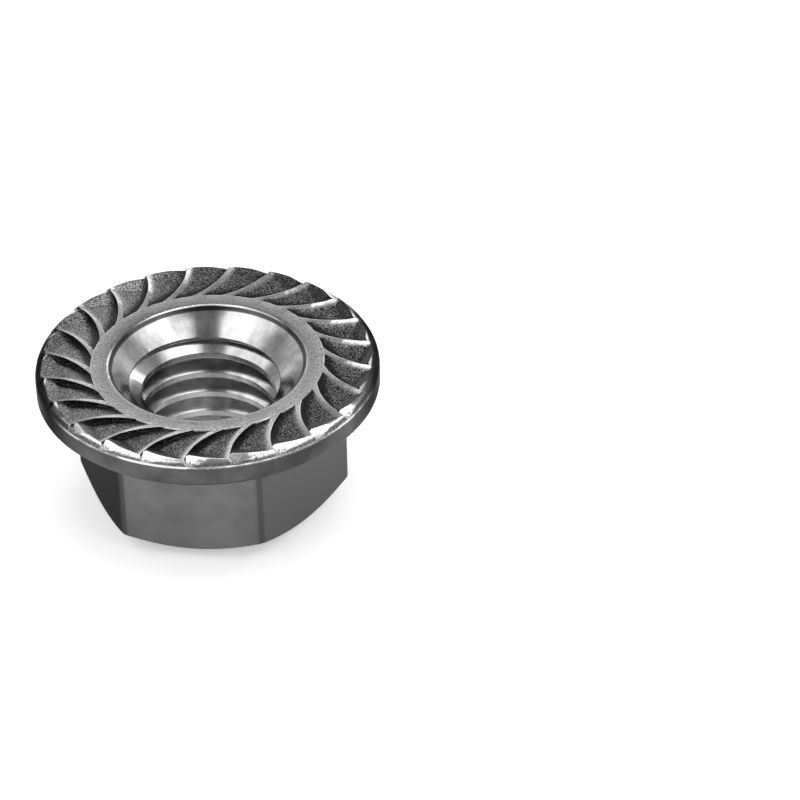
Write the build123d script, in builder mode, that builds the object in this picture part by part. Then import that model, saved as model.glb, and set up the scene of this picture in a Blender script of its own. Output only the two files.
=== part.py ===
from build123d import *
from math import cos, radians, sin, tan
import os

# Serrated flange nut, M10 x 1.5, standing on its hexagon end with the serrated face up.
# The axis is Z, the seat of the hexagon end is Z = 0, and two flats face -Y and +Y.

# Thread: the bore is left at the thread's minor diameter
thread_diameter = 10.0
thread_pitch = 1.5
minor_factor = 1.0825        # minor diameter = thread diameter - factor * pitch, ISO metric

# Hexagon
across_flats = 15.0
corner_rounding = 0.55
seat_diameter = 12.6         # round flat that the nut stands on
seat_chamfer_angle = 33.0    # of the turned corners, from the seat

# Flange
height = 9.9                 # from the seat to the crown of the face
flange_diameter = 21.36
rim_rounding = 0.63          # from the crown into the rim's side
rim_depth = 2.0              # of the rim's lower edge, below the crown
rim_lower_chamfer = 0.35
cone_angle = 22.0            # of the side towards the hexagon, from the face
root_chamfer = 0.5           # between the flange and the hexagon

# Countersinks
face_mouth_diameter = 12.4
seat_mouth_diameter = 11.0
countersink_angle = 90.0
mouth_rounding = 0.5

# Face: a flat ring round the countersink, and the serrations from there to the rim
ring_width = 1.05
ring_depth = 0.2             # below the crown
tooth_count = 24
tooth_phase = 1.8            # of the first tooth's outer tip, from +X
tooth_depth = 0.32           # from the crest of a tooth to the floor of a pocket
crest_depth = 0.08           # below the crown
flank_radius = 5.6           # plan radius of a tooth's curved flank
flank_centre_radius = 12.5   # of that arc's centre, from the axis
flank_centre_angle = 26.4    # of that centre, ahead of the tooth's outer tip
flank_draft = 25.0           # of the steep flank, from the vertical
strip_width = 0.5            # of the gentle flank's upper part, along the crest
strip_slope = 20.0
gentle_width = 2.0           # of the gentle flank, from the crest to the floor
pocket_end_margin = 0.28     # a pocket's outer end is an arc, by this smaller than the rim
pocket_end_offset = 2.5      # of the arc's centre, from the axis
pocket_end_angle = 24.0      # of the end's slope up from the floor, from the face
shoulder_angle = 32.0        # of the slope from there down to the rim, from the face
shoulder_margin = 0.25       # between the two slopes, at the level of the crests

# Dependent sizes
bore_radius = (thread_diameter - minor_factor * thread_pitch) / 2
seat_radius = seat_diameter / 2
seat_mouth_radius = seat_mouth_diameter / 2
face_mouth_radius = face_mouth_diameter / 2
ring_radius = face_mouth_radius + ring_width
rim_radius = flange_diameter / 2
crown_radius = rim_radius - rim_rounding
pocket_end_radius = rim_radius - pocket_end_margin
lower_edge_radius = rim_radius - rim_lower_chamfer
lower_edge_level = height - rim_depth
cone_end_level = lower_edge_level - lower_edge_radius * tan(radians(cone_angle))
ring_level = height - ring_depth
crest_level = height - crest_depth
floor_level = crest_level - tooth_depth
tooth_pitch = 360 / tooth_count
strip_drop = strip_width * tan(radians(strip_slope))

def polar(radius, angle):
    return radius * cos(radians(angle)), radius * sin(radians(angle))

def countersink_depth(mouth_radius):
    return (mouth_radius - bore_radius) / tan(radians(countersink_angle / 2))

# The cutters of one tooth stand between two levels, below and above the crests
cut_depth = 2 * rim_rounding
cut_margin = tooth_depth
cut_base = crest_level - cut_depth
cut_height = cut_depth + cut_margin
own_centre = polar(flank_centre_radius, flank_centre_angle)
next_centre = polar(flank_centre_radius, flank_centre_angle + tooth_pitch)
end_centre = polar(pocket_end_offset, tooth_pitch / 2 + 90)
gentle_reach = 3 * flank_radius
standing = (Align.CENTER, Align.CENTER, Align.MIN)

def cutter_cone(centre, crest_radius, spread, mode=Mode.ADD):
    # a cone of this radius at the level of the crests, wider by the spread for each millimetre up
    with Locations((*centre, cut_base)):
        Cone(crest_radius - cut_depth * spread, crest_radius + cut_margin * spread, cut_height,
             align=standing, mode=mode)

# The pocket, from the steep flank of its own tooth to the gentle flank of the next, and from the
# ring to an end that runs outwards as it rises
with BuildPart() as pocket:
    cutter_cone(own_centre, flank_radius, tan(radians(flank_draft)))
    cutter_cone(end_centre, pocket_end_radius, 1 / tan(radians(pocket_end_angle)), Mode.INTERSECT)
    with Locations((0, 0, cut_base)):
        Cylinder(ring_radius, cut_height, align=standing, mode=Mode.SUBTRACT)
    with BuildSketch(Plane((*next_centre, 0), x_dir=(1, 0, 0), z_dir=(0, -1, 0))):
        with BuildLine():
            Polyline((flank_radius - strip_width, crest_level + strip_drop),
                     (flank_radius + strip_width, crest_level - strip_drop),
                     (flank_radius + gentle_width, floor_level), (gentle_reach, floor_level),
                     (gentle_reach, crest_level + strip_drop), close=True)
        make_face()
    revolve(axis=Axis((*next_centre, 0), (0, 0, 1)), mode=Mode.INTERSECT)

# The shoulder outside the pocket's end, which leaves the tip of the next tooth standing
with BuildPart() as shoulder:
    cutter_cone(own_centre, flank_radius, tan(radians(flank_draft)))
    cutter_cone(end_centre, pocket_end_radius + shoulder_margin, -1 / tan(radians(shoulder_angle)),
                Mode.SUBTRACT)
    with Locations((*next_centre, cut_base)):
        Cylinder(flank_radius, cut_height, align=standing, mode=Mode.SUBTRACT)

with BuildPart() as flange_nut:
    # Hexagon, with its corners turned down to the round seat
    with BuildSketch():
        RegularPolygon(across_flats / 2, 6, major_radius=False)
    extrude(amount=lower_edge_level)
    fillet(flange_nut.edges().filter_by(Axis.Z), corner_rounding)
    with BuildSketch(Plane.XZ):
        with BuildLine():
            chamfer_end = (across_flats - seat_radius) * tan(radians(seat_chamfer_angle))
            Polyline((0, 0), (seat_radius, 0), (across_flats, chamfer_end), (across_flats, height),
                     (0, height), close=True)
        make_face()
    revolve(axis=Axis.Z, mode=Mode.INTERSECT)

    # Flange: dished face, rim rounded over from the crown, cone towards the hexagon
    with BuildSketch(Plane.XZ):
        with BuildLine():
            Polyline((lower_edge_radius, lower_edge_level), (0, cone_end_level), (0, ring_level),
                     (ring_radius, ring_level), (crown_radius, height))
            CenterArc((crown_radius, height - rim_rounding), rim_rounding, 0, 90)
            Polyline((rim_radius, height - rim_rounding), (rim_radius, lower_edge_level + rim_lower_chamfer),
                     (lower_edge_radius, lower_edge_level))
        make_face()
    revolve(axis=Axis.Z)
    chamfer(flange_nut.edges(Select.NEW), root_chamfer)

    # Bore, with a countersink at each end
    with BuildSketch(Plane.XZ):
        with BuildLine():
            Polyline((0, 0), (seat_mouth_radius, 0), (bore_radius, countersink_depth(seat_mouth_radius)),
                     (bore_radius, ring_level - countersink_depth(face_mouth_radius)),
                     (face_mouth_radius, ring_level), (0, ring_level), close=True)
        make_face()
    revolve(axis=Axis.Z, mode=Mode.SUBTRACT)
    fillet(flange_nut.edges(Select.LAST).sort_by(Axis.Z)[-1], mouth_rounding)

    # Serrations
    with PolarLocations(0, tooth_count, start_angle=tooth_phase):
        add(pocket.part, mode=Mode.SUBTRACT)
        add(shoulder.part, mode=Mode.SUBTRACT)

flange_nut.part.label = "flange_nut"
os.makedirs("parts", exist_ok=True)
export_step(flange_nut.part, "parts/flange_nut.step")
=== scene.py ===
import bmesh
import bpy
from math import cos, pi, radians, sin, tan
from mathutils import Matrix, Vector


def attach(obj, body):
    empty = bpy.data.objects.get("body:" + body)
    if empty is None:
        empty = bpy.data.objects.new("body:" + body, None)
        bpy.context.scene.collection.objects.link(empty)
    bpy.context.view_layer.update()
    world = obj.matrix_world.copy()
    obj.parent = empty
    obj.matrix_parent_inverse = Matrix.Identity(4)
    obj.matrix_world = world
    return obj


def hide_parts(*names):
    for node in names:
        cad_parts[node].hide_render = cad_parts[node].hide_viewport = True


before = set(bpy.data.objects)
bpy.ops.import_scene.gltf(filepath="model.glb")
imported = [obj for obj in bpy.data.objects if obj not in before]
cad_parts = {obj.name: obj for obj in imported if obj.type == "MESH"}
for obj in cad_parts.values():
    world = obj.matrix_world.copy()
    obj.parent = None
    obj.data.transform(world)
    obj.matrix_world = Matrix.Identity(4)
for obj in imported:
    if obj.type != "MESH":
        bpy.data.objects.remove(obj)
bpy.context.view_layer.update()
mm = 0.001
smooth = {"interpolation_type": "SMOOTHSTEP"}
colours = {"data_type": "RGBA"}


# sRGB hex to the linear colour that the shader sockets take
def toLinear(hexColour):
    channels = [int(hexColour[i:i + 2], 16) / 255 for i in (1, 3, 5)]
    return [c / 12.92 if c <= 0.04045 else ((c + 0.055) / 1.055) ** 2.4 for c in channels] + [1]


# one node: settings are its properties, or its operation alone, and sockets are its inputs by name
# or number, each a number, a hex colour, an output, or a node that gives its first live output
def addNode(tree, kind, settings=None, **sockets):
    node = tree.nodes.new("ShaderNode" + kind)
    if isinstance(settings, str):
        settings = {"operation": settings}
    for name, value in (settings or {}).items():
        setattr(node, name, value)
    for name, value in sockets.items():
        key = int(name[1:]) if name[0] == "i" and name[1:].isdigit() else name.replace("_", " ")
        if isinstance(value, bpy.types.Node):
            value = next(output for output in value.outputs if output.enabled)
        if isinstance(value, bpy.types.NodeSocket):
            tree.links.new(value, node.inputs[key])
        else:
            node.inputs[key].default_value = toLinear(value) if isinstance(value, str) else value
    return node


def startMaterial(name):
    material = bpy.data.materials.new(name)
    material.use_nodes = True
    return material, material.node_tree, material.node_tree.nodes["Principled BSDF"]


def addObject(name, data):
    made = bpy.data.objects.new(name, data)
    bpy.context.scene.collection.objects.link(made)
    return made


def meshObject(name, bm):
    mesh = bpy.data.meshes.new(name)
    bm.to_mesh(mesh)
    bm.free()
    return addObject(name, mesh)


# the nut: a copy of the solid with the thread, M10 x 1.5, cut into its bore
nutSizes = {
    "majorRadius": 5.0 * mm,
    "pitch": 1.5 * mm,
    "flankAngle": radians(30),
    "rootFlat": 0.125,              # of the pitch
    "cutterInnerRadius": 4.0 * mm,  # inside the bore's wall
    "turns": 8,                     # past both ends of the bore
    "stepsPerTurn": 120,
    "mergeDistance": 1e-7,
    "cutMergeDistance": 1e-6,
    "creaseAngle": radians(24),
}


def threadCutter(s):
    rootHalf = s["pitch"] * s["rootFlat"] / 2
    innerHalf = rootHalf + (s["majorRadius"] - s["cutterInnerRadius"]) * tan(s["flankAngle"])
    startLevel = -s["pitch"]
    profile = [(s["cutterInnerRadius"], -innerHalf), (s["majorRadius"], -rootHalf),
               (s["majorRadius"], rootHalf), (s["cutterInnerRadius"], innerHalf)]
    bm = bmesh.new()
    bm.faces.new([bm.verts.new((radius, 0, startLevel + level)) for radius, level in profile])
    bmesh.ops.spin(bm, geom=bm.verts[:] + bm.edges[:] + bm.faces[:], cent=(0, 0, 0), axis=(0, 0, 1),
                   dvec=(0, 0, s["pitch"] / s["stepsPerTurn"]), angle=2 * pi * s["turns"],
                   steps=s["turns"] * s["stepsPerTurn"], use_merge=False, use_duplicate=False)
    bmesh.ops.remove_doubles(bm, verts=bm.verts, dist=s["mergeDistance"])
    bmesh.ops.contextual_create(bm, geom=[edge for edge in bm.edges if edge.is_boundary])
    bmesh.ops.recalc_face_normals(bm, faces=bm.faces)
    return meshObject("threadCutter", bm)


def printCounts(stage, bm):
    openEdges = sum(not edge.is_manifold for edge in bm.edges)
    print("nut:", stage, "has", len(bm.verts), "points", len(bm.faces), "faces",
          openEdges, "open edges")


def buildNut(s):
    bm = bmesh.new()
    bm.from_mesh(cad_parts["flange_nut"].data)
    bmesh.ops.remove_doubles(bm, verts=bm.verts, dist=s["mergeDistance"])
    printCounts("copy", bm)
    nut = meshObject("nut", bm)

    cutter = threadCutter(s)
    cut = nut.modifiers.new("thread", "BOOLEAN")
    cut.operation = "DIFFERENCE"
    cut.object = cutter
    cut.solver = "EXACT"
    bpy.context.view_layer.update()
    evaluated = nut.evaluated_get(bpy.context.evaluated_depsgraph_get())
    threaded = bpy.data.meshes.new_from_object(evaluated)
    nut.modifiers.clear()
    nut.data = threaded
    bpy.data.objects.remove(cutter)

    bm = bmesh.new()
    bm.from_mesh(nut.data)
    bmesh.ops.remove_doubles(bm, verts=bm.verts, dist=s["cutMergeDistance"])
    printCounts("threaded", bm)
    for face in bm.faces:
        face.smooth = True
    for edge in bm.edges:
        edge.smooth = not (edge.is_manifold and edge.calc_face_angle(0) > s["creaseAngle"])
    bm.to_mesh(nut.data)
    bm.free()
    return nut


nut = buildNut(nutSizes)
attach(nut, "root")
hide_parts("flange_nut")

# A2 stainless steel, cold forged and tumbled: crests, ring and shoulders are rubbed bright, the
# pockets keep the dull, grainy skin of the forging, and the rim's side and the hexagon a finer one
steelFinish = {
    "ringDark": "#989898",
    "ringLight": "#E4E4E4",
    "grainDark": "#161616",       # of the pockets
    "grainLight": "#A2A2A2",
    "endDark": "#1E1E1E",         # of their outer ends
    "endLight": "#686868",
    "deepShadeDark": "#121212",        # painted shade on their steep walls and beside them
    "deepShadeLight": "#444444",
    "shoulderDark": "#6A6A6A",
    "shoulderLight": "#B4B4B4",
    "sideDark": "#3E3E3E",        # of the rim
    "sideLight": "#5A5A5A",
    "hexagonDark": "#606060",
    "hexagonLight": "#6E6E6E",
    "edge": "#E8E8E8",            # bare metal, and the painted highlight line
    "seamShade": "#161616",            # painted shade on the chamfer under the rim
    "corner": "#484848",          # the hexagon's corners, darker
    "brightRoughness": 0.22,
    "dullRoughness": 0.35,
    "hexagonRoughness": 0.34,

    # painted light and shade: the pockets are painted lighter towards one side, and one flat of the
    # hexagon darker
    "paintedPaleDark": "#545454",
    "paintedPaleLight": "#C0C0C0",
    "paintedPaleSide": radians(178),
    "paintedPaleFrom": 3.0 * mm,         # from the axis towards that side
    "paintedPaleTo": 7.0 * mm,
    "paintedPaleShare": 0.95,
    "endShare": 0.55,             # of that in the pockets' outer ends
    # painted shade on the flat of the hexagon towards dullSide
    "dimmedFlatShade": "#545454",
    "dullSide": radians(-30),
    "dimmedFlatFrom": 7.0 * mm,
    "dimmedFlatTo": 7.48 * mm,

    # painted shade: one flat and two stretches of the rim are painted dark, and their grazing
    # reflection is painted dimmer
    "darkFlatShade": "#383838",
    "darkFlatSide": radians(-165),
    "darkFlatFrom": 5.85 * mm,
    "darkFlatTo": 6.3 * mm,
    "rimShade": "#303030",
    "rimShadeSide": radians(14),   # and the side across from it
    "rimShadeFrom": 7.4 * mm,
    "rimShadeTo": 10.1 * mm,
    "shadedGrazing": "#A8A8A8",

    "ringRadius": 7.25 * mm,
    "ringLevel": 9.7 * mm,
    "crownRadius": 10.05 * mm,
    "crownLevel": 9.9 * mm,
    "toothPitch": radians(15),
    "toothPhase": radians(13.2),
    "arcRadius": 5.6 * mm,        # of the crests, seen from above
    "arcCentre": 12.5 * mm,       # of their centres, from the axis
    "tipRadius": 10.4 * mm,
    "shoulderAngle": radians(32),
    "rimLevel": 9.67 * mm,        # the dull side starts below this
    "highlightLineLevel": 9.42 * mm,        # middle of the painted highlight line where the rim is widest
    "highlightLineWidth": 0.075 * mm,       # half of that line's width
    "seamShadeLevel": 8.2 * mm,
    "hexagonLevel": 7.9 * mm,
    "cornerRadius": 8.55 * mm,

    "edgeRadius": 0.08 * mm,      # of the worn edges
    "crestFrom": 0.16 * mm,       # from a crest, where its wear starts
    "crestTo": 0.06 * mm,         # and is whole
    "stripFrom": 0.06 * mm,       # the bright strip along a crest, its middle
    "stripTo": 0.5 * mm,          # and its dull border
    "footShadeAtRing": 1.1 * mm,       # width of the painted shade at the foot of a pocket's wall
    "footShadeAtCrown": 0.45 * mm,
    "raggedness": 0.14 * mm,      # of the borders between bright and dull
    "rimBlend": 0.05 * mm,
    "levelBlend": 0.02 * mm,
    "lowerFrom": 0.02 * mm,       # from the painted highlight line's level, where the rim's own tone starts
    "lowerTo": -0.16 * mm,
    "brightFrom": -0.1 * mm,      # from rimLevel, where the shoulders turn bright
    "brightTo": 0.02 * mm,
    "cornerFrom": -0.03 * mm,     # from cornerRadius
    "cornerTo": 0.02 * mm,
    "onRimFrom": -0.3 * mm,       # from tipRadius
    "onRimTo": -0.15 * mm,
    "outwardFrom": -0.8 * mm,     # from ringRadius, where the ring pales
    "outwardTo": -0.2 * mm,
    "outwardShare": 0.45,
    "fleckShare": 0.4,
    "wornFrom": 0.995,            # cosine of the turn that a worn edge gives the normal
    "wornTo": 0.95,
    "grain": 0.085 * mm,          # coarser than the real grain, which would not show
    "skin": 0.17 * mm,
    "dents": 1.5 * mm,
    "clouds": 2.6 * mm,
    "relief": 0.02 * mm,          # height of the dents and the grain
    "dentStrength": 0.45,
    "brightGrain": 0.12,          # strength of the grain
    "dullGrain": 0.6,
}


# how far a point lies from the crest on each side of it: the crests are arcs, one for each tooth
def crestDistances(tree, axes, radius, s):
    square = addNode(tree, "Math", "MULTIPLY", i0=radius, i1=radius)
    span = addNode(tree, "Math", "MULTIPLY", i0=radius, i1=2 * s["arcCentre"])
    known = addNode(tree, "Math", "ADD", i0=square, i1=s["arcCentre"] ** 2 - s["arcRadius"] ** 2)
    ratio = addNode(tree, "Math", {"operation": "DIVIDE", "use_clamp": True}, i0=known, i1=span)
    swing = addNode(tree, "Math", "ARCCOSINE", i0=ratio)
    around = addNode(tree, "Math", "ARCTAN2", i0=axes.outputs["Y"], i1=axes.outputs["X"])
    shifted = addNode(tree, "Math", "ADD", i0=around, i1=swing)
    shifted = addNode(tree, "Math", "ADD", i0=shifted, i1=4 * pi - s["toothPhase"])
    pastOwn = addNode(tree, "Math", "MODULO", i0=shifted, i1=s["toothPitch"])
    distances = []
    for offset in (0, s["toothPitch"]):
        turn = addNode(tree, "Math", "SUBTRACT", i0=swing, i1=pastOwn)
        turn = addNode(tree, "Math", "ADD", i0=turn, i1=offset)
        turn = addNode(tree, "Math", "COSINE", i0=turn)
        turn = addNode(tree, "Math", "MULTIPLY", i0=turn, i1=span)
        gap = addNode(tree, "Math", "SUBTRACT", i0=square, i1=turn)
        gap = addNode(tree, "Math", "ADD", i0=gap, i1=s["arcCentre"] ** 2)
        gap = addNode(tree, "Math", "SQRT", i0=gap)
        gap = addNode(tree, "Math", "SUBTRACT", i0=gap, i1=s["arcRadius"])
        distances.append(addNode(tree, "Math", "ABSOLUTE", i0=gap))
    return distances


# grows over a stretch of the way from the axis towards one side, or towards both sides alike
def growTowards(tree, point, side, start, full, bothSides=False):
    reach = addNode(tree, "VectorMath", "DOT_PRODUCT", i0=point, i1=(cos(side), sin(side), 0))
    if bothSides:
        reach = addNode(tree, "Math", "ABSOLUTE", i0=reach)
    return addNode(tree, "MapRange", smooth, Value=reach, From_Min=start, From_Max=full)


def tumbledSteel(s):
    material, tree, shader = startMaterial("stainlessSteelTumbled")
    point = addNode(tree, "TexCoord").outputs["Object"]
    axes = addNode(tree, "SeparateXYZ", Vector=point)
    height = axes.outputs["Z"]
    flat = addNode(tree, "CombineXYZ", X=axes.outputs["X"], Y=axes.outputs["Y"])
    radius = addNode(tree, "VectorMath", "LENGTH", i0=flat)
    noises = []
    for size, detail, roughness in ((s["grain"], 2.0, 0.6), (s["skin"], 3.0, 0.6),
                                    (s["dents"], 1.0, 0.5), (s["clouds"], 3.0, 0.55)):
        noises.append(addNode(tree, "TexNoise", Vector=point, Scale=1 / size, Detail=detail,
                              Roughness=roughness))
    grain, skin, dents, clouds = noises
    marks = addNode(tree, "TexNoise", {"noise_dimensions": "1D"}, W=radius, Scale=1 / s["skin"],
                    Detail=2.0)
    cut = addNode(tree, "Attribute", {"attribute_name": "pocket"}).outputs["Fac"]
    end = addNode(tree, "Attribute", {"attribute_name": "pocketEnd"}).outputs["Fac"]
    wall = addNode(tree, "Attribute", {"attribute_name": "pocketWall"}).outputs["Fac"]
    shoulder = addNode(tree, "Attribute", {"attribute_name": "shoulder"}).outputs["Fac"]
    ragged = addNode(tree, "MapRange", Value=grain, From_Min=0.3, From_Max=0.7,
                     To_Min=-s["raggedness"], To_Max=s["raggedness"])

    # the pockets are dull up to a bright strip along the next crest, and painted shade darkens them
    # beside their wall
    fromWall, fromCrest = crestDistances(tree, axes, radius, s)
    strip = addNode(tree, "Math", "ADD", i0=fromCrest, i1=ragged)
    strip = addNode(tree, "MapRange", smooth, Value=strip, From_Min=s["stripFrom"],
                    From_Max=s["stripTo"])
    reach = addNode(tree, "MapRange", Value=radius, From_Min=s["ringRadius"],
                    From_Max=s["crownRadius"], To_Min=s["footShadeAtRing"], To_Max=s["footShadeAtCrown"])
    footShade = addNode(tree, "Math", "ADD", i0=fromWall, i1=ragged)
    footShade = addNode(tree, "Math", "DIVIDE", i0=footShade, i1=reach)
    footShade = addNode(tree, "MapRange", smooth, Value=footShade, From_Min=1.0, From_Max=0.4)
    low = addNode(tree, "Math", "MAXIMUM", i0=strip, i1=wall)
    pocket = addNode(tree, "Math", "MULTIPLY", i0=low, i1=cut)
    deepShade = addNode(tree, "Math", "MAXIMUM", i0=footShade, i1=wall)
    deepShade = addNode(tree, "Math", "MULTIPLY", i0=deepShade, i1=cut)

    # the rim's side with its shoulders, the painted highlight line and the painted shade of the
    # chamfer on it, and the hexagon
    raggedHeight = addNode(tree, "Math", "ADD", i0=height, i1=ragged)
    side = addNode(tree, "MapRange", smooth, Value=raggedHeight,
                   From_Min=s["rimLevel"] + s["rimBlend"], From_Max=s["rimLevel"] - s["rimBlend"])
    lower = addNode(tree, "MapRange", smooth, Value=height,
                    From_Min=s["highlightLineLevel"] + s["lowerFrom"], From_Max=s["highlightLineLevel"] + s["lowerTo"])
    bright = addNode(tree, "MapRange", smooth, Value=raggedHeight,
                     From_Min=s["rimLevel"] + s["brightFrom"],
                     From_Max=s["rimLevel"] + s["brightTo"])
    bright = addNode(tree, "Math", "MULTIPLY", i0=bright, i1=shoulder)
    seamShade = addNode(tree, "Math", "LESS_THAN", i0=height, i1=s["seamShadeLevel"])
    hexagon = addNode(tree, "MapRange", Value=height,
                      From_Min=s["hexagonLevel"] + s["levelBlend"],
                      From_Max=s["hexagonLevel"] - s["levelBlend"])
    corner = addNode(tree, "MapRange", smooth, Value=radius,
                     From_Min=s["cornerRadius"] + s["cornerFrom"],
                     From_Max=s["cornerRadius"] + s["cornerTo"])
    # a painted highlight: a bright line round the rim where it is widest
    lineWidth = addNode(tree, "MapRange", smooth, Value=clouds, From_Min=0.42, From_Max=0.62,
                        To_Min=0.0, To_Max=s["highlightLineWidth"])
    line = addNode(tree, "Math", "COMPARE", i0=height, i1=s["highlightLineLevel"], i2=lineWidth)

    # painted light and shade, which differ from one side of the nut to the other
    paintedPale = growTowards(tree, point, s["paintedPaleSide"], s["paintedPaleFrom"], s["paintedPaleTo"])
    paintedPale.inputs["To Max"].default_value = s["paintedPaleShare"]
    dimmedFlat = growTowards(tree, point, s["dullSide"], s["dimmedFlatFrom"], s["dimmedFlatTo"])
    darkFlat = growTowards(tree, point, s["darkFlatSide"], s["darkFlatFrom"], s["darkFlatTo"])
    rimShade = growTowards(tree, point, s["rimShadeSide"], s["rimShadeFrom"], s["rimShadeTo"], True)
    onRim = addNode(tree, "MapRange", smooth, Value=radius,
                    From_Min=s["tipRadius"] + s["onRimFrom"],
                    From_Max=s["tipRadius"] + s["onRimTo"])
    onRim = addNode(tree, "Math", "MAXIMUM", i0=onRim, i1=side)
    rimShade = addNode(tree, "Math", "MULTIPLY", i0=rimShade, i1=onRim)

    # edges: where the rounded normal leaves the face's own, crests are rubbed bright, and painted
    # shade darkens the line between a pocket and its shoulder
    rounded = addNode(tree, "Bevel", {"samples": 8}, Radius=s["edgeRadius"])
    own = addNode(tree, "NewGeometry")
    turn = addNode(tree, "VectorMath", "DOT_PRODUCT", i0=rounded, i1=own.outputs["Normal"])
    worn = addNode(tree, "MapRange", smooth, Value=turn, From_Min=s["wornFrom"],
                   From_Max=s["wornTo"])
    nearCrest = addNode(tree, "MapRange", smooth, Value=fromCrest, From_Min=s["crestFrom"],
                        From_Max=s["crestTo"])
    outer = addNode(tree, "Math", "MAXIMUM", i0=end, i1=shoulder)
    unrubbed = addNode(tree, "Math", "MAXIMUM", i0=outer, i1=wall)
    creaseShade = addNode(tree, "Math", "MULTIPLY", i0=worn, i1=outer)
    creaseShade = addNode(tree, "Mix", Factor=nearCrest, i2=creaseShade, i3=0.0)
    deepShade = addNode(tree, "Math", "MAXIMUM", i0=deepShade, i1=creaseShade)
    crest = addNode(tree, "Mix", Factor=cut, i2=1.0, i3=nearCrest)
    rubbed = addNode(tree, "Math", "MULTIPLY", i0=worn, i1=crest)
    for mask in (unrubbed, lower):
        rubbed = addNode(tree, "Mix", Factor=mask, i2=rubbed, i3=0.0)
    # worn bare metal, together with the painted highlight line
    bareAndHighlight = addNode(tree, "Math", "MAXIMUM", i0=rubbed, i1=line)
    bareAndHighlight = addNode(tree, "Mix", Factor=rimShade, i2=bareAndHighlight, i3=0.0)

    # two tones for each part, mixed by its pattern: noise lies mostly within 0.3 to 0.7, and the
    # narrower the range taken of it, the harder the pattern
    speck = addNode(tree, "MapRange", smooth, Value=grain, From_Min=0.44, From_Max=0.64)
    fleck = addNode(tree, "MapRange", Value=skin, From_Min=0.34, From_Max=0.66)
    cloud = addNode(tree, "MapRange", Value=clouds, From_Min=0.35, From_Max=0.65)
    outward = addNode(tree, "MapRange", smooth, Value=radius,
                      From_Min=s["ringRadius"] + s["outwardFrom"],
                      From_Max=s["ringRadius"] + s["outwardTo"])
    ringTone = addNode(tree, "MapRange", Value=marks, From_Min=0.3, From_Max=0.7)
    ringTone = addNode(tree, "Mix", Factor=s["fleckShare"], i2=ringTone, i3=fleck)
    ringTone = addNode(tree, "Mix", Factor=s["outwardShare"], i2=ringTone, i3=outward)
    patterns = {"ring": ringTone, "grain": speck, "paintedPale": speck, "end": speck, "deepShade": speck,
                "shoulder": fleck, "side": cloud, "hexagon": cloud}
    tones = {}
    for part, pattern in patterns.items():
        tones[part] = addNode(tree, "Mix", colours, Factor=pattern, i6=s[part + "Dark"],
                              i7=s[part + "Light"])

    # the parts laid over each other, each where its mask is
    floorColour = addNode(tree, "Mix", colours, Factor=paintedPale, i6=tones["grain"], i7=tones["paintedPale"])
    endPaintedPale = addNode(tree, "Math", "MULTIPLY", i0=paintedPale, i1=s["endShare"])
    endColour = addNode(tree, "Mix", colours, Factor=endPaintedPale, i6=tones["end"], i7=tones["paintedPale"])
    floorColour = addNode(tree, "Mix", colours, Factor=end, i6=floorColour, i7=endColour)
    sideColour = addNode(tree, "Mix", colours, Factor=lower, i6=tones["shoulder"], i7=tones["side"])
    sideColour = addNode(tree, "Mix", colours, Factor=seamShade, i6=sideColour, i7=s["seamShade"])
    hexagonColour = tones["hexagon"]
    # painted shade on two flats of the hexagon, then its darker corners
    for mask, top in ((dimmedFlat, s["dimmedFlatShade"]), (darkFlat, s["darkFlatShade"]), (corner, s["corner"])):
        hexagonColour = addNode(tree, "Mix", colours, Factor=mask, i6=hexagonColour, i7=top)
    colour = tones["ring"]
    # the rim's two stretches and the pockets' feet and walls get painted shade here
    layers = ((side, sideColour), (bright, s["edge"]), (rimShade, s["rimShade"]),
              (pocket, floorColour), (deepShade, tones["deepShade"]), (hexagon, hexagonColour),
              (bareAndHighlight, s["edge"]))
    for mask, top in layers:
        colour = addNode(tree, "Mix", colours, Factor=mask, i6=colour, i7=top)
    tree.links.new(colour.outputs[2], shader.inputs["Base Color"])
    # painted shade: dimmer grazing reflection on the darkened flat and rim stretches
    shadedMask = addNode(tree, "Math", "MULTIPLY", i0=darkFlat, i1=hexagon)
    shadedMask = addNode(tree, "Math", "MAXIMUM", i0=shadedMask, i1=rimShade)
    grazing = addNode(tree, "Mix", colours, Factor=shadedMask, i6="#FFFFFF", i7=s["shadedGrazing"])
    tree.links.new(grazing.outputs[2], shader.inputs["Specular Tint"])

    dullSide = addNode(tree, "Mix", Factor=bright, i2=side, i3=0.0)
    dull = addNode(tree, "Math", "MAXIMUM", i0=pocket, i1=dullSide)
    rough = addNode(tree, "MapRange", Value=dull, To_Min=s["brightRoughness"],
                    To_Max=s["dullRoughness"])
    rough = addNode(tree, "MapRange", Value=hexagon, To_Min=rough,
                    To_Max=s["hexagonRoughness"])
    tree.links.new(rough.outputs[0], shader.inputs["Roughness"])

    wave = addNode(tree, "Bump", Strength=s["dentStrength"], Distance=s["relief"],
                   Height=dents, Normal=rounded)
    grainStrength = addNode(tree, "MapRange", Value=pocket, To_Min=s["brightGrain"],
                            To_Max=s["dullGrain"])
    bump = addNode(tree, "Bump", Strength=grainStrength, Distance=s["relief"], Height=grain,
                   Normal=wave)
    tree.links.new(bump.outputs["Normal"], shader.inputs["Normal"])
    shader.inputs["Metallic"].default_value = 1
    return material


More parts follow.
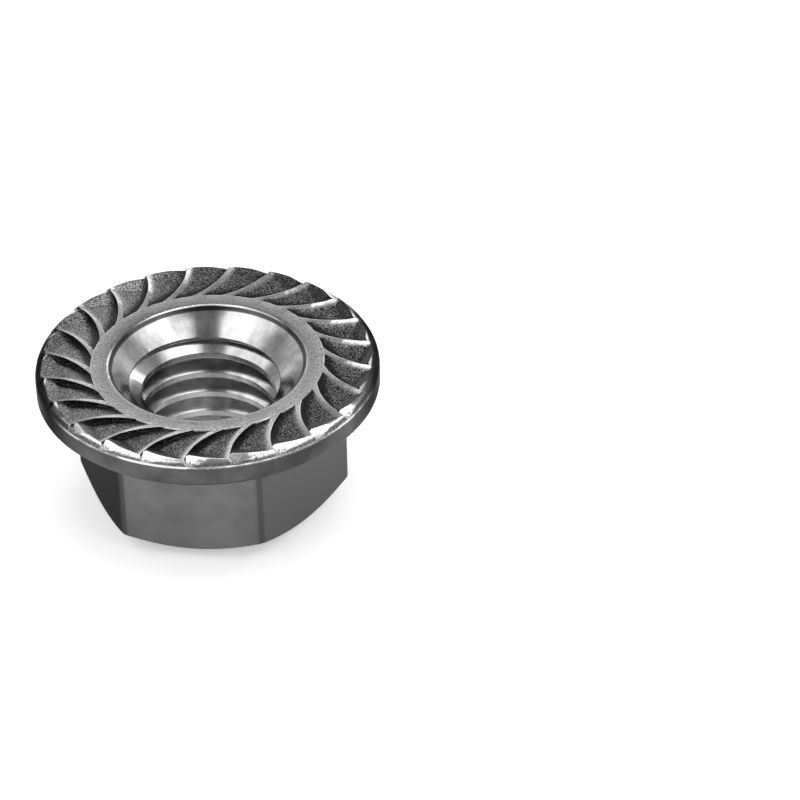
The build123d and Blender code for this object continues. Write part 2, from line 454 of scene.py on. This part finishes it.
# the same steel, drilled and tapped: the bore and its countersinks shine with fine rings round the
# axis and faint upright streaks
boreFinish = {
    "dark": "#9A9A9A",
    "light": "#C4C4C4",
    "mouthShade": "#404040",           # painted shade on the rounded edge of the upper mouth
    "mouthInner": 5.92 * mm,
    "mouthOuter": 6.14 * mm,
    "mouthLevel": 9.3 * mm,
    "innerBlend": 0.04 * mm,
    "outerBlend": 0.03 * mm,
    "roughness": 0.18,
    "toolMarks": 0.06 * mm,
    "markHeight": 0.01 * mm,
    "markStrength": 0.15,
    "markStretch": 0.04,          # of the marks' scale round the axis
    "streaks": 1.4 * mm,
    "streakHeight": 0.03 * mm,
    "streakStrength": 0.08,
    "streakStretch": 0.2,         # of the streaks' scale along the axis
    "edgeRadius": 0.07 * mm,
}


def turnedSteel(s):
    material, tree, shader = startMaterial("stainlessSteelTurned")
    point = addNode(tree, "TexCoord").outputs["Object"]
    axes = addNode(tree, "SeparateXYZ", Vector=point)
    flat = addNode(tree, "CombineXYZ", X=axes.outputs["X"], Y=axes.outputs["Y"])
    radius = addNode(tree, "VectorMath", "LENGTH", i0=flat)
    stretched = addNode(tree, "Mapping", Vector=point,
                        Scale=(s["markStretch"], s["markStretch"], 1.0))
    marks = addNode(tree, "TexNoise", Vector=stretched, Scale=1 / s["toolMarks"], Detail=2.0)
    upright = addNode(tree, "Mapping", Vector=point, Scale=(1.0, 1.0, s["streakStretch"]))
    streaks = addNode(tree, "TexNoise", Vector=upright, Scale=1 / s["streaks"], Detail=3.0,
                      Roughness=0.55)
    tone = addNode(tree, "MapRange", Value=streaks, From_Min=0.35, From_Max=0.65)
    colour = addNode(tree, "Mix", colours, Factor=tone, i6=s["dark"], i7=s["light"])
    inner = addNode(tree, "MapRange", smooth, Value=radius,
                    From_Min=s["mouthInner"] - s["innerBlend"],
                    From_Max=s["mouthInner"] + s["innerBlend"])
    outer = addNode(tree, "MapRange", smooth, Value=radius,
                    From_Min=s["mouthOuter"] + s["outerBlend"],
                    From_Max=s["mouthOuter"] - s["outerBlend"])
    upper = addNode(tree, "Math", "GREATER_THAN", i0=axes.outputs["Z"], i1=s["mouthLevel"])
    mouthShade = addNode(tree, "Math", "MULTIPLY", i0=inner, i1=outer)
    mouthShade = addNode(tree, "Math", "MULTIPLY", i0=mouthShade, i1=upper)
    colour = addNode(tree, "Mix", colours, Factor=mouthShade, i6=colour, i7=s["mouthShade"])
    tree.links.new(colour.outputs[2], shader.inputs["Base Color"])
    rounded = addNode(tree, "Bevel", {"samples": 6}, Radius=s["edgeRadius"])
    wave = addNode(tree, "Bump", Strength=s["streakStrength"], Distance=s["streakHeight"],
                   Height=streaks, Normal=rounded)
    bump = addNode(tree, "Bump", Strength=s["markStrength"], Distance=s["markHeight"],
                   Height=marks, Normal=wave)
    tree.links.new(bump.outputs["Normal"], shader.inputs["Normal"])
    shader.inputs["Metallic"].default_value = 1
    shader.inputs["Roughness"].default_value = s["roughness"]
    return material


# the bore and its countersinks take the turned finish, and face attributes mark what each tooth's
# cut leaves: its pocket, that pocket's steep wall and outer end, and the shoulder outside it
faceLimits = {
    "boreReach": 6.21 * mm,
    "leastDepth": 0.004 * mm,     # of a pocket, below the line from the ring to the crown
    "greatestDepth": 0.5 * mm,
    "ringMargin": 0.02 * mm,
    "flattestWall": 0.7,          # upward part of the normal
    "steepestWall": 0.2,
    "boreOutward": -0.2,          # outward part of the normal: at most, in the bore,
    "floorOutward": 0.3,          # on a pocket's floor
    "endOutward": -0.3,           # and on its outer end,
    "shoulderOutward": 0.4,       # and at least, on a shoulder
    "slopeTolerance": 0.004,      # of a shoulder's upward part
    "endReach": 9.0 * mm,
    "shoulderLevel": 9.5 * mm,
}


def markFaces(nut, s, limits):
    mesh = nut.data
    marks = {"pocket": [], "pocketWall": [], "pocketEnd": [], "shoulder": []}
    rise = (s["crownLevel"] - s["ringLevel"]) / (s["crownRadius"] - s["ringRadius"])
    for face in mesh.polygons:
        centre, upward = face.center, face.normal.z
        across = Vector((centre.x, centre.y, 0))
        reach = across.length
        outward = face.normal.dot(across.normalized())
        if reach < limits["boreReach"] and outward < limits["boreOutward"]:
            face.material_index = 1
        depth = s["ringLevel"] + (reach - s["ringRadius"]) * rise - centre.z
        sunk = (reach > s["ringRadius"] - limits["ringMargin"]
                and limits["leastDepth"] < depth < limits["greatestDepth"])
        wall = (sunk and limits["steepestWall"] < upward < limits["flattestWall"]
                and reach < s["tipRadius"])
        floor = (sunk and upward >= limits["flattestWall"]
                 and outward < limits["floorOutward"])
        end = floor and outward < limits["endOutward"] and reach > limits["endReach"]
        sloped = (abs(upward - cos(s["shoulderAngle"])) < limits["slopeTolerance"]
                  and outward > limits["shoulderOutward"])
        marks["pocket"].append(float(wall or floor))
        marks["pocketWall"].append(float(wall))
        marks["pocketEnd"].append(float(end))
        marks["shoulder"].append(float(sloped and reach > s["crownRadius"]
                                       and centre.z > limits["shoulderLevel"]))
    for name, values in marks.items():
        mesh.attributes.new(name, "FLOAT", "FACE").data.foreach_set("value", values)
    print("nut: marked", {name: int(sum(values)) for name, values in marks.items()})


nut.data.materials.clear()
nut.data.materials.append(tumbledSteel(steelFinish))
nut.data.materials.append(turnedSteel(boreFinish))
markFaces(nut, steelFinish, faceLimits)
print("nut: steel on")

# the studio: directions are in the camera's frame, with +Y away from it, turned about the axis
studioSizes = {
    "turn": radians(7.638),
    "cameraPlace": (11.881 * mm, -173.5 * mm, 132.22 * mm),
    "elevation": radians(35.942),
    "roll": radians(-1.036),
    "focalLength": 154.306,
    "sensorWidth": 36,
    "clip": (0.01, 20),
    "floorSize": 2.0,
    "floorColour": "#F4F4F4",
    "floorRoughness": 0.9,
    "floorGlow": 0.42,
    "roomLevel": 0.2,
    "backdropLevel": 1.0,
    "backdropFront": (-0.1, 0.3),   # Y of a direction, where the backdrop fades in
    "backdropTop": (0.4, 0.78),     # Z of it, where the backdrop fades out
    "backdropSides": (0.98, 0.68),  # X of it, where it fades in from either end
}
# name: direction from the nut, distance, size and brightness
lamps = {
    "overheadLeft": ((-0.52, 0.02, 0.85), 0.5, (0.28, 0.42), 1.7),
    "overheadRight": ((0.52, 0.02, 0.85), 0.5, (0.28, 0.42), 1.9),
    "frontLeft": ((-0.54, -0.50, 0.68), 0.5, (0.28, 0.28), 2.2),
    "frontRight": ((0.56, -0.50, 0.68), 0.5, (0.28, 0.28), 2.2),
    "overheadBack": ((0.06, 0.24, 0.97), 0.5, (0.34, 0.17), 2.4),
    "backRight": ((0.40, 0.79, 0.46), 0.5, (0.16, 0.10), 2.4),
}


def buildCamera(s):
    elevation, roll = s["elevation"], s["roll"]
    ahead = Vector((0, cos(elevation), -sin(elevation)))
    right = Vector((1, 0, 0))
    up = right.cross(ahead)
    across = right * cos(roll) + up * sin(roll)
    upward = up * cos(roll) - right * sin(roll)
    place = Matrix((across, upward, -ahead)).transposed().to_4x4()
    place.translation = Vector(s["cameraPlace"])
    data = bpy.data.cameras.new("camera")
    data.sensor_width = s["sensorWidth"]
    data.lens = s["focalLength"]
    data.clip_start, data.clip_end = s["clip"]
    camera = addObject("camera", data)
    camera.matrix_world = Matrix.Rotation(s["turn"], 4, "Z") @ place
    bpy.context.scene.camera = camera


def addLamp(name, direction, distance, size, brightness, turn):
    data = bpy.data.lights.new(name, "AREA")
    data.shape = "RECTANGLE"
    data.size, data.size_y = size
    data.energy = brightness * size[0] * size[1] * pi
    place = Matrix.Rotation(turn, 3, "Z") @ Vector(direction).normalized() * distance
    aim = (-place).to_track_quat("-Z", "Y").to_matrix().to_4x4()
    addObject(name, data).matrix_world = Matrix.Translation(place) @ aim


# matt white paper, glowing a little where it is seen, so that it reads as an even white
def buildFloor(s):
    bm = bmesh.new()
    bmesh.ops.create_grid(bm, x_segments=1, y_segments=1, size=s["floorSize"] / 2)
    floor = meshObject("floor", bm)
    paper, tree, shader = startMaterial("whitePaper")
    shader.inputs["Base Color"].default_value = toLinear(s["floorColour"])
    shader.inputs["Roughness"].default_value = s["floorRoughness"]
    shader.inputs["Emission Color"].default_value = toLinear("#FFFFFF")
    rays = addNode(tree, "LightPath")
    seen = addNode(tree, "Math", "MAXIMUM", i0=rays.outputs["Is Camera Ray"],
                   i1=rays.outputs["Is Glossy Ray"])
    seen = addNode(tree, "Math", "MAXIMUM", i0=seen, i1=rays.outputs["Is Transmission Ray"])
    glow = addNode(tree, "Math", "MULTIPLY", i0=seen, i1=s["floorGlow"])
    tree.links.new(glow.outputs[0], shader.inputs["Emission Strength"])
    floor.data.materials.append(paper)


# a pale backdrop behind the nut and a dim room in front and above
def buildWorld(s):
    world = bpy.data.worlds.new("world")
    bpy.context.scene.world = world
    world.use_nodes = True
    tree = world.node_tree
    background = tree.nodes["Background"]
    background.inputs["Color"].default_value = toLinear("#FFFFFF")
    direction = addNode(tree, "TexCoord").outputs["Generated"]
    turned = addNode(tree, "Mapping", {"vector_type": "TEXTURE"}, Vector=direction,
                     Rotation=(0, 0, s["turn"]))
    axes = addNode(tree, "SeparateXYZ", Vector=turned)
    start, end = s["backdropFront"]
    behind = addNode(tree, "MapRange", smooth, Value=axes.outputs["Y"], From_Min=start,
                     From_Max=end)
    start, end = s["backdropTop"]
    low = addNode(tree, "MapRange", smooth, Value=axes.outputs["Z"], From_Min=start, From_Max=end,
                  To_Min=1.0, To_Max=0.0)
    start, end = s["backdropSides"]
    aside = addNode(tree, "Math", "ABSOLUTE", i0=axes.outputs["X"])
    narrow = addNode(tree, "MapRange", smooth, Value=aside, From_Min=start, From_Max=end)
    backdrop = addNode(tree, "Math", "MULTIPLY", i0=behind, i1=low)
    backdrop = addNode(tree, "Math", "MULTIPLY", i0=backdrop, i1=narrow)
    level = addNode(tree, "MapRange", Value=backdrop, To_Min=s["roomLevel"],
                    To_Max=s["backdropLevel"])
    tree.links.new(level.outputs[0], background.inputs["Strength"])


buildCamera(studioSizes)
for name, (direction, distance, size, brightness) in lamps.items():
    addLamp(name, direction, distance, size, brightness, studioSizes["turn"])
buildFloor(studioSizes)
buildWorld(studioSizes)
bpy.context.scene.view_settings.view_transform = "Standard"
print("studio: camera, lamps, floor and world")
